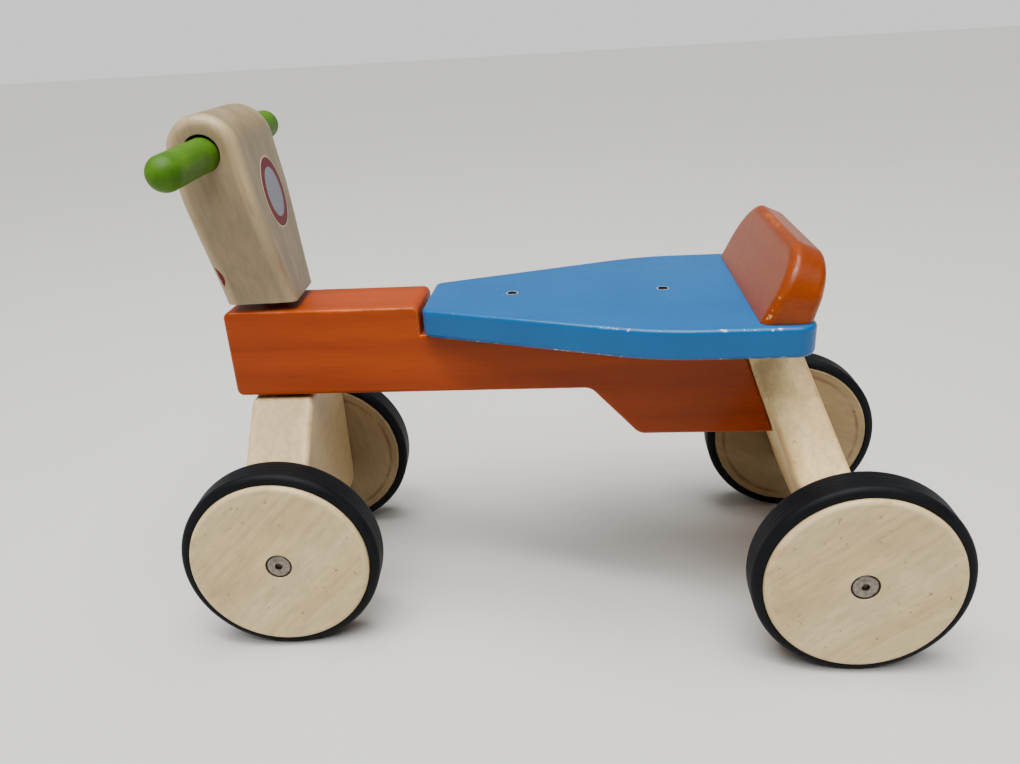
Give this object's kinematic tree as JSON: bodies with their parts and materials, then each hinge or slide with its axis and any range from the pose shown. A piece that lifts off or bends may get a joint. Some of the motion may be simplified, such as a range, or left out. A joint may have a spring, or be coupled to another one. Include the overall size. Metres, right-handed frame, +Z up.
{
  "type": "wooden ride-on toy",
  "caption": "Child's low wooden ride-on: beam chassis, tapered seat with a low backrest, leaning post with a crossbar that steers the front axle, solid wheels with rubber tyres.",
  "frame": {"origin": "on the ground under the middle of the vehicle, halfway along its length and width", "axes": "+X forward along the beam, +Y to the rider's left, +Z up; the wheels stand on z = 0"},
  "size_m": [0.543, 0.2428, 0.3695],
  "materials": {
    "orange_stain": "orange-stained wood under satin clear lacquer, worn at the edges",
    "blue_paint": "blue-painted wood, satin, chipped to pale wood at the edges",
    "green_paint": "green-painted dowel, satin",
    "post_wood": "pale beech or birch, clear satin lacquer",
    "block_wood": "pale beech or birch, clear satin lacquer",
    "disc_wood": "pale birch, clear satin lacquer, scuffed",
    "tyre_rubber": "smooth dark grey rubber band, dull and dusty",
    "steel": "zinc-plated steel, dull",
    "nylon": "grey nylon, matt"
  },
  "bodies": {
    "chassis": {"main_beam": "orange_stain", "seat_board": "blue_paint", "backrest": "orange_stain", "rear_axle_block": "block_wood", "seat_screw_front": "steel", "seat_screw_rear": "steel", "steering_bush_lower": "nylon", "steering_bush_upper": "nylon", "rear_dowel_lower": "block_wood", "rear_dowel_upper": "block_wood", "backrest_screw_left": "steel", "backrest_screw_right": "steel", "rear_left_axle_bolt": "steel", "rear_left_axle_washer": "nylon", "rear_left_axle_insert": "steel", "rear_right_axle_bolt": "steel", "rear_right_axle_washer": "nylon", "rear_right_axle_insert": "steel"},
    "steering": {"steering_post": "post_wood", "handlebar": "green_paint", "front_axle_block": "block_wood", "steering_spindle": "steel", "steering_spacer": "nylon", "steering_washer": "nylon", "post_insert": "steel", "front_left_axle_bolt": "steel", "front_left_axle_washer": "nylon", "front_left_axle_insert": "steel", "front_right_axle_bolt": "steel", "front_right_axle_washer": "nylon", "front_right_axle_insert": "steel"},
    "front_left_wheel": {"front_left_tyre": "tyre_rubber", "front_left_wheel_disc": "disc_wood", "front_left_wheel_bush": "nylon"},
    "front_right_wheel": {"front_right_tyre": "tyre_rubber", "front_right_wheel_disc": "disc_wood", "front_right_wheel_bush": "nylon"},
    "rear_left_wheel": {"rear_left_tyre": "tyre_rubber", "rear_left_wheel_disc": "disc_wood", "rear_left_wheel_bush": "nylon"},
    "rear_right_wheel": {"rear_right_tyre": "tyre_rubber", "rear_right_wheel_disc": "disc_wood", "rear_right_wheel_bush": "nylon"}
  },
  "joints": [
    {"name": "steering_turn", "type": "hinge", "parent": "chassis", "child": "steering", "pos_m": [0.19545, 0, 0.2], "axis": [0, 0, 1], "range_deg": [-49, 41]},
    {"name": "front_left_wheel_spin", "type": "hinge", "parent": "steering", "child": "front_left_wheel", "pos_m": [0.18975, 0.0816, 0.07], "axis": [-0.0698, 0.9976, 0], "continuous": true},
    {"name": "front_right_wheel_spin", "type": "hinge", "parent": "steering", "child": "front_right_wheel", "pos_m": [0.20116, -0.0816, 0.07], "axis": [-0.0698, 0.9976, 0], "continuous": true},
    {"name": "rear_left_wheel_spin", "type": "hinge", "parent": "chassis", "child": "rear_left_wheel", "pos_m": [-0.20155, 0.1056, 0.07], "axis": [0, 1, 0], "continuous": true},
    {"name": "rear_right_wheel_spin", "type": "hinge", "parent": "chassis", "child": "rear_right_wheel", "pos_m": [-0.20155, -0.1056, 0.07], "axis": [0, 1, 0], "continuous": true}
  ]
}
